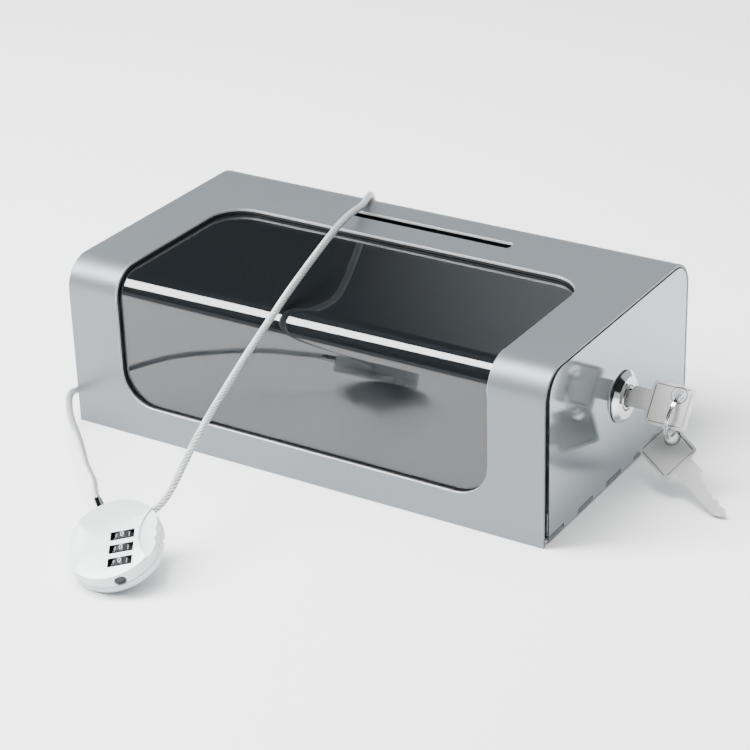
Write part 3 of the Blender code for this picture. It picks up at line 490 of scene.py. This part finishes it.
# CAD node, finish, material slot and width of the broken edge
fromFrame = (
    ("body_wrap", powderCoat, "powder_coat", 0.16 * mm),
    ("base_tray", powderCoat, "powder_coat", 0.1 * mm),
    ("left_end_panel", powderCoat, "powder_coat", 0.16 * mm),
    ("window_gasket", foam, "foam", 0),
    ("window_pane", acrylic, "smoked_acrylic", 0.12 * mm),
    ("strike_bracket", zincSteel, "zinc_steel", 0.12 * mm),
    ("hinge_pin", zincSteel, "zinc_steel", 0.05 * mm),
    ("door_panel", doorGloss, "door_finish", 0.12 * mm),
    ("lock_housing", chrome, "lock_chrome", 0.12 * mm),
    ("lock_nut", zincSteel, "zinc_steel", 0.25 * mm),
    ("lock_plug", plugSteel, "lock_chrome", 0.1 * mm),
    ("lock_cam", zincSteel, "zinc_steel", 0.15 * mm),
    ("cam_nut", zincSteel, "zinc_steel", 0.2 * mm),
    ("key", keyNickel, "key_nickel", 0.08 * mm),
    ("key_ring", chrome, "lock_chrome", 0.05 * mm),
    ("spare_key", keyNickel, "key_nickel", 0.08 * mm),
    ("tether_eye", zincSteel, "zinc_steel", 0.15 * mm),
    ("eye_rivet_1", zincSteel, "zinc_steel", 0),
    ("eye_rivet_2", zincSteel, "zinc_steel", 0),
    ("cable_ferrule", chrome, "lock_chrome", 0.05 * mm),
    ("cable_pin", zincSteel, "zinc_steel", 0),
    ("padlock_front", padSilver, "padlock_silver", 0.1 * mm),
    ("padlock_back", padSilver, "padlock_silver", 0.1 * mm),
    ("dial_axle", zincSteel, "zinc_steel", 0),
    ("dial_1", dialDark, "dial_black", 0.08 * mm),
    ("dial_2", dialDark, "dial_black", 0.08 * mm),
    ("dial_3", dialDark, "dial_black", 0.08 * mm),
    ("release_button", buttonDark, "dial_black", 0.08 * mm),
    ("padlock_screw_1", zincSteel, "zinc_steel", 0.05 * mm),
    ("padlock_screw_2", zincSteel, "zinc_steel", 0.05 * mm),
)

# a recess in the mouth of the lock's plug, whose walls get painted shade (mm)
plugSet = {"axis": (3.6, 38.4), "radius": 4.2, "face": 122.9, "deep": 1.5, "clear": 1}


def plugMouth(s):
    place = Matrix.Scale(mm, 4) @ framed((0, 1, 0), (0, 0, 1), (0, *s["axis"]))
    return bandSolid(circle(s["radius"]), None, place, s["face"] - s["deep"], s["face"] + s["clear"])


def inPlugMouth(point, normal):
    far = math.hypot(point.y - plugSet["axis"][0], point.z - plugSet["axis"][1])
    return 120 < point.x < plugSet["face"] - 0.1 and far < plugSet["radius"] + 0.1


cutterSets = {node: keyGrooves(places[node], keySet) for node in ("key", "spare_key")}
cutterSets["lock_plug"] = [plugMouth(plugSet)]
fine = {}
for node, mat, slotName, width in fromFrame:
    fine[node] = softened(node, mat, width, cutterSets.get(node, ()), edgeSet)
for node in ("key", "spare_key"):
    # painted shade: the walls of the keys' grooves take the dark finish
    painted(fine[node], keyGrooveShade, inGroove(places[node], keySet))
# painted shade: the walls inside the padlock's wheel windows take the near-black finish
painted(fine["padlock_front"], hollowShadePaint, inWheelRoom)
# painted highlight: the cut walls of the sheet take the light finish
painted(fine["body_wrap"], cutEdgeHighlight, atCutEdge)
# painted shade: the walls of the plug's mouth take the near-black finish
painted(fine["lock_plug"], hollowShadePaint, inPlugMouth)
print("pieces from the frame made:", len(fine))


# the tether cable, of twisted strands
cableSet = {
    "diameter": 3.2 * mm,
    "strands": 6,
    "lay": 11 * mm,          # length in which a strand goes once round
    "wires": 6,              # fine wires round a strand
    "wireLay": 1.1 * mm,     # length in which a wire goes once round its strand
    "wireRelief": (0.5, 0.06 * mm),
    "valley": (0.2, 0.85, 0.05, 1),   # how far out the shade ends, and its darkest and lightest share
    "step": 0.5 * mm,
}
# the same points as in part.py, from the ferrule to the pin (mm)
cableRoute = (
    (-43.2, -152.6, 21.1), (-46.0, -150.3, 22.0), (-51.4, -144.3, 23.2), (-61.2, -136.4, 24.6),
    (-76.8, -121.0, 25.1), (-94.6, -104.1, 23.3), (-107.5, -89.8, 19.6), (-119.4, -74.8, 15.4),
    (-122.8, -66.0, 13.6), (-124.2, -48.0, 8.6), (-126.4, -22.0, 4.0), (-128.4, 6.0, 2.1),
    (-130.0, 34.0, 1.9), (-130.6, 55.0, 1.9), (-127.2, 71.0, 1.9), (-115.0, 79.0, 1.9),
    (-97.0, 80.5, 2.4), (-78.0, 79.0, 7.4), (-61.5, 76.4, 18.6), (-51.0, 73.8, 33.0),
    (-47.4, 72.6, 47.0), (-45.4, 71.0, 61.5), (-44.2, 69.2, 71.2), (-42.9, 66.0, 76.0),
    (-41.0, 61.6, 79.4), (-38.7, 56.0, 81.0), (-32.1, 40.7, 83.6), (-25.0, 20.3, 88.7),
    (-18.3, 0.8, 92.3), (-13.6, -16.0, 93.0), (-11.1, -36.1, 88.9), (-10.6, -54.6, 82.1),
    (-11.2, -67.3, 75.3), (-12.4, -87.8, 63.6), (-13.5, -110.3, 49.7), (-13.5, -124.0, 40.9),
    (-13.0, -136.0, 32.4), (-12.8, -142.5, 28.3), (-13.5, -147.9, 24.9), (-15.0, -151.7, 23.0),
)


def smoothRoute(points, perSpan=8):
    pts = [Vector(p) * mm for p in points]
    pts = [2 * pts[0] - pts[1]] + pts + [2 * pts[-1] - pts[-2]]
    line = []
    for a, b, c, d in zip(pts, pts[1:], pts[2:], pts[3:]):
        for i in range(perSpan):
            t = i / perSpan
            line.append(0.5 * (2 * b + (c - a) * t + (2 * a - 5 * b + 4 * c - d) * t * t
                               + (3 * b - 3 * c + d - a) * t ** 3))
    return line + [pts[-2]]


def ropeTree():
    tree = bpy.data.node_groups.new("strandedRope", "GeometryNodeTree")
    tree.interface.new_socket("Geometry", in_out="INPUT", socket_type="NodeSocketGeometry")
    for label, kind in (("Strand Radius", "NodeSocketFloat"), ("Strands", "NodeSocketInt"),
                        ("Lay", "NodeSocketFloat"), ("Step", "NodeSocketFloat"),
                        ("Finish", "NodeSocketMaterial")):
        tree.interface.new_socket(label, in_out="INPUT", socket_type=kind)
    tree.interface.new_socket("Geometry", in_out="OUTPUT", socket_type="NodeSocketGeometry")
    nodes, links = tree.nodes, tree.links
    given, out = nodes.new("NodeGroupInput"), nodes.new("NodeGroupOutput")

    def maths(operation, *values):
        node = nodes.new("ShaderNodeMath")
        node.operation = operation
        for socket, value in zip(node.inputs, values):
            if isinstance(value, (int, float)):
                socket.default_value = value
            else:
                links.new(value, socket)
        return node.outputs[0]

    def vectors(operation, first, second=None, scale=None):
        node = nodes.new("ShaderNodeVectorMath")
        node.operation = operation
        links.new(first, node.inputs[0])
        if second is not None:
            links.new(second, node.inputs[1])
        if scale is not None:
            links.new(scale, node.inputs["Scale"])
        return node.outputs["Value"] if operation == "DISTANCE" else node.outputs["Vector"]

    even = nodes.new("GeometryNodeResampleCurve")
    even.mode = "LENGTH"
    links.new(given.outputs["Geometry"], even.inputs["Curve"])
    links.new(given.outputs["Step"], even.inputs["Length"])
    place = nodes.new("GeometryNodeInputPosition")
    keepMiddle = nodes.new("GeometryNodeStoreNamedAttribute")
    keepMiddle.data_type = "FLOAT_VECTOR"
    keepMiddle.inputs["Name"].default_value = "ropeMiddle"
    links.new(even.outputs["Curve"], keepMiddle.inputs["Geometry"])
    links.new(place.outputs["Position"], keepMiddle.inputs["Value"])
    copies = nodes.new("GeometryNodeDuplicateElements")
    copies.domain = "SPLINE"
    links.new(keepMiddle.outputs["Geometry"], copies.inputs["Geometry"])
    links.new(given.outputs["Strands"], copies.inputs["Amount"])

    # every copy winds round the rope's middle line, a share of a turn after the one before
    along = nodes.new("GeometryNodeSplineParameter")
    normal, tangent = nodes.new("GeometryNodeInputNormal"), nodes.new("GeometryNodeInputTangent")
    share = maths("DIVIDE", copies.outputs["Duplicate Index"], given.outputs["Strands"])
    turns = maths("ADD", maths("DIVIDE", along.outputs["Length"], given.outputs["Lay"]), share)
    angle = maths("MULTIPLY", turns, 2 * math.pi)
    off = maths("MULTIPLY", given.outputs["Strand Radius"], 2)
    side = vectors("CROSS_PRODUCT", tangent.outputs[0], normal.outputs[0])
    first = vectors("SCALE", normal.outputs[0], scale=maths("MULTIPLY", maths("COSINE", angle), off))
    second = vectors("SCALE", side, scale=maths("MULTIPLY", maths("SINE", angle), off))
    wound = nodes.new("GeometryNodeSetPosition")
    links.new(copies.outputs["Geometry"], wound.inputs["Geometry"])
    links.new(vectors("ADD", first, second), wound.inputs["Offset"])

    core = nodes.new("GeometryNodeJoinGeometry")
    links.new(wound.outputs["Geometry"], core.inputs["Geometry"])
    links.new(keepMiddle.outputs["Geometry"], core.inputs["Geometry"])
    ring = nodes.new("GeometryNodeCurvePrimitiveCircle")
    ring.mode = "RADIUS"
    ring.inputs["Resolution"].default_value = 9
    links.new(given.outputs["Strand Radius"], ring.inputs["Radius"])
    keepAlong = nodes.new("GeometryNodeStoreNamedAttribute")
    keepRound = nodes.new("GeometryNodeStoreNamedAttribute")
    keepAlong.inputs["Name"].default_value = "ropeAlong"
    keepRound.inputs["Name"].default_value = "ropeRound"
    mark, turn = nodes.new("GeometryNodeSplineParameter"), nodes.new("GeometryNodeSplineParameter")
    links.new(core.outputs["Geometry"], keepAlong.inputs["Geometry"])
    links.new(mark.outputs["Length"], keepAlong.inputs["Value"])
    links.new(ring.outputs["Curve"], keepRound.inputs["Geometry"])
    links.new(turn.outputs["Factor"], keepRound.inputs["Value"])
    tube = nodes.new("GeometryNodeCurveToMesh")
    tube.inputs["Fill Caps"].default_value = True
    links.new(keepAlong.outputs["Geometry"], tube.inputs["Curve"])
    links.new(keepRound.outputs["Geometry"], tube.inputs["Profile Curve"])
    # how far out a point lies: 0 at the bottom of a valley, 1 on a crown
    middle = nodes.new("GeometryNodeInputNamedAttribute")
    middle.data_type = "FLOAT_VECTOR"
    middle.inputs["Name"].default_value = "ropeMiddle"
    reach = vectors("DISTANCE", place.outputs["Position"], middle.outputs["Attribute"])
    share = maths("SUBTRACT", maths("DIVIDE", reach, given.outputs["Strand Radius"]), 2)
    keepOut = nodes.new("GeometryNodeStoreNamedAttribute")
    keepOut.inputs["Name"].default_value = "ropeOut"
    links.new(tube.outputs["Mesh"], keepOut.inputs["Geometry"])
    links.new(share, keepOut.inputs["Value"])
    real = nodes.new("GeometryNodeRealizeInstances")
    paint = nodes.new("GeometryNodeSetMaterial")
    links.new(keepOut.outputs["Geometry"], real.inputs["Geometry"])
    links.new(real.outputs["Geometry"], paint.inputs["Geometry"])
    links.new(given.outputs["Finish"], paint.inputs["Material"])
    links.new(paint.outputs["Geometry"], out.inputs["Geometry"])
    return tree


def ropeFinish(s):
    # fine wires wind along every strand
    mat = finish("wireRope", (0.66, 0.68, 0.69), 0.55, 0.32, grain=2500, tint=0.15, bump=0.1)
    nodes, links = mat.node_tree.nodes, mat.node_tree.links
    along, around = nodes.new("ShaderNodeAttribute"), nodes.new("ShaderNodeAttribute")
    along.attribute_name, around.attribute_name = "ropeAlong", "ropeRound"
    values = []
    for source, factor in ((along, 2 * math.pi / s["wireLay"]), (around, 2 * math.pi * s["wires"])):
        node = nodes.new("ShaderNodeMath")
        node.operation = "MULTIPLY"
        node.inputs[1].default_value = factor
        links.new(source.outputs["Fac"], node.inputs[0])
        values.append(node)
    total, wave = nodes.new("ShaderNodeMath"), nodes.new("ShaderNodeMath")
    wave.operation = "SINE"
    links.new(values[0].outputs[0], total.inputs[0])
    links.new(values[1].outputs[0], total.inputs[1])
    links.new(total.outputs[0], wave.inputs[0])
    relief = nodes["Bump"]
    relief.inputs["Strength"].default_value, relief.inputs["Distance"].default_value = s["wireRelief"]
    links.new(wave.outputs[0], relief.inputs["Height"])
    # painted shade: the valleys between the strands are darkened in the base colour
    out = nodes.new("ShaderNodeAttribute")
    out.attribute_name = "ropeOut"
    shade = nodes.new("ShaderNodeMapRange")
    for label, value in zip(("From Min", "From Max", "To Min", "To Max"), s["valley"]):
        shade.inputs[label].default_value = value
    grey = nodes.new("ShaderNodeMix")
    grey.data_type = "RGBA"
    grey.blend_type = "MULTIPLY"
    grey.inputs["Factor"].default_value = 1
    links.new(out.outputs["Fac"], shade.inputs["Value"])
    links.new(nodes["Mix"].outputs["Result"], grey.inputs["A"])
    links.new(shade.outputs["Result"], grey.inputs["B"])
    links.new(grey.outputs["Result"], nodes["Principled BSDF"].inputs["Base Color"])
    return mat


def tetherCable(s):
    line = smoothRoute(cableRoute)
    data = bpy.data.curves.new("tether_rope", "CURVE")
    data.dimensions = "3D"
    spline = data.splines.new("POLY")
    spline.points.add(len(line) - 1)
    for target, point in zip(spline.points, line):
        target.co = (*point, 1)
    guide = bpy.data.objects.new("tether_rope_guide", data)
    bpy.context.scene.collection.objects.link(guide)
    tree = ropeTree()
    mod = guide.modifiers.new("rope", "NODES")
    mod.node_group = tree
    mat = ropeFinish(s)
    values = {"Strand Radius": s["diameter"] / 6, "Strands": s["strands"], "Lay": s["lay"], "Step": s["step"],
              "Finish": mat}
    for socket in tree.interface.items_tree:
        if socket.in_out == "INPUT" and socket.name in values:
            mod[socket.identifier] = values[socket.name]
    bpy.context.view_layer.update()
    mesh = bpy.data.meshes.new_from_object(guide.evaluated_get(bpy.context.evaluated_depsgraph_get()))
    bpy.data.objects.remove(guide)
    mesh.shade_smooth()
    rope = bpy.data.objects.new("tether_rope", mesh)
    bpy.context.scene.collection.objects.link(rope)
    placed(rope, "root", ["tether_cable"], mat)


tetherCable(cableSet)


digitSet = {"height": 2.5 * mm, "radius": 4.8 * mm, "proud": 0.04 * mm}


def dialNumbers(dial, s):
    joint = next(j for j in frame["joints"] if j["child"] == dial)
    axle = -Vector(joint["axis"]).normalized()
    centre = Vector(joint["pos_m"])
    start = padPlace.to_3x3().col[2]
    bm = bmesh.new()
    for number in range(10):
        text = bpy.data.curves.new("digit", "FONT")
        text.body = str(number)
        text.size = s["height"] * 1.35
        text.align_x, text.align_y = "CENTER", "CENTER"
        text.extrude = s["proud"]
        sign = bpy.data.objects.new("digit", text)
        bpy.context.scene.collection.objects.link(sign)
        bpy.context.view_layer.update()
        mesh = bpy.data.meshes.new_from_object(sign.evaluated_get(bpy.context.evaluated_depsgraph_get()))
        out = Matrix.Rotation(math.radians(36 * number), 3, axle) @ start
        # a number stands along the axle, so it is read across the wheel's turn
        turn = Matrix((axle.cross(out), axle, out)).transposed().to_4x4()
        mesh.transform(Matrix.Translation(centre + out * s["radius"]) @ turn)
        bm.from_mesh(mesh)
        bpy.data.objects.remove(sign)
        bpy.data.meshes.remove(mesh)
        bpy.data.curves.remove(text)
    mesh = bpy.data.meshes.new(dial + "_numbers")
    bm.to_mesh(mesh)
    bm.free()
    ring = bpy.data.objects.new(dial + "_numbers", mesh)
    bpy.context.scene.collection.objects.link(ring)
    return placed(ring, bodyOf(dial), [], dialInk)


for dial in ("dial_1", "dial_2", "dial_3"):
    dialNumbers(dial, digitSet)
print("dial numbers made")
